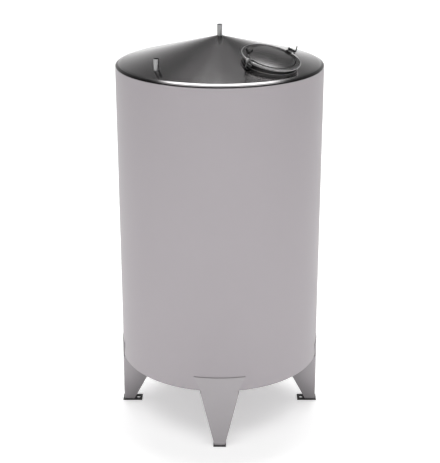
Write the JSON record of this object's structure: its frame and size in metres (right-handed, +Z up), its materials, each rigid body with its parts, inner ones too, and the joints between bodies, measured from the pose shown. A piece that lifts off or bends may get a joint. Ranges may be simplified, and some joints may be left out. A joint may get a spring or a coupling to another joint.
{
  "type": "vertical storage tank",
  "caption": "Upright round stainless steel tank with a conical roof, a hinged round hatch, open pipe stubs and folded sheet legs on foot plates.",
  "frame": {"origin": "on the floor, at the centre of the tank, level with the undersides of the foot plates", "axes": "+Z up along the tank's axis, -Y towards the front leg, +X towards the right leg"},
  "size_m": [1.428, 1.428, 2.787],
  "materials": {
    "shell_steel": "satin rolled sheet",
    "roof_steel": "smooth semi-bright sheet",
    "leg_steel": "satin folded sheet",
    "hatch_steel": "polished",
    "pipe_steel": "smooth drawn tube",
    "foot_coating": "dull black coating",
    "gasket_rubber": "matt",
    "grip_plastic": "fine matt moulding"
  },
  "bodies": {
    "root": {"wall_panel_1": "shell_steel", "wall_panel_2": "shell_steel", "wall_panel_3": "shell_steel", "wall_panel_4": "shell_steel", "wall_panel_5": "shell_steel", "wall_panel_6": "shell_steel", "wall_panel_7": "shell_steel", "wall_panel_8": "shell_steel", "roof_cone": "roof_steel", "bottom_cone": "shell_steel", "leg_front": "leg_steel", "foot_front": "foot_coating", "leg_right": "leg_steel", "foot_right": "foot_coating", "leg_back": "leg_steel", "foot_back": "foot_coating", "leg_left": "leg_steel", "foot_left": "foot_coating", "vent_pipe": "pipe_steel", "fill_pipe": "pipe_steel", "drain_pipe": "pipe_steel", "hatch_neck": "hatch_steel", "hinge_bracket": "hatch_steel", "latch_catch": "hatch_steel"},
    "lid": {"hatch_lid": "hatch_steel", "hatch_gasket": "gasket_rubber", "hinge_leaf": "hatch_steel", "hinge_pin": "pipe_steel", "latch_tab": "hatch_steel"},
    "latch": {"latch_stem": "pipe_steel", "latch_grip": "grip_plastic"}
  },
  "joints": [
    {"name": "lid_hinge", "type": "hinge", "parent": "root", "child": "lid", "pos_m": [0.47177, -0.16127, 2.64653], "axis": [-0.7279, 0.6302, 0.2702], "range_deg": [0, 110]},
    {"name": "latch_turn", "type": "hinge", "parent": "lid", "child": "latch", "pos_m": [0.17228, -0.46469, 2.63746], "axis": [0.1947, -0.188, 0.9627], "range_deg": [0, 90]}
  ]
}
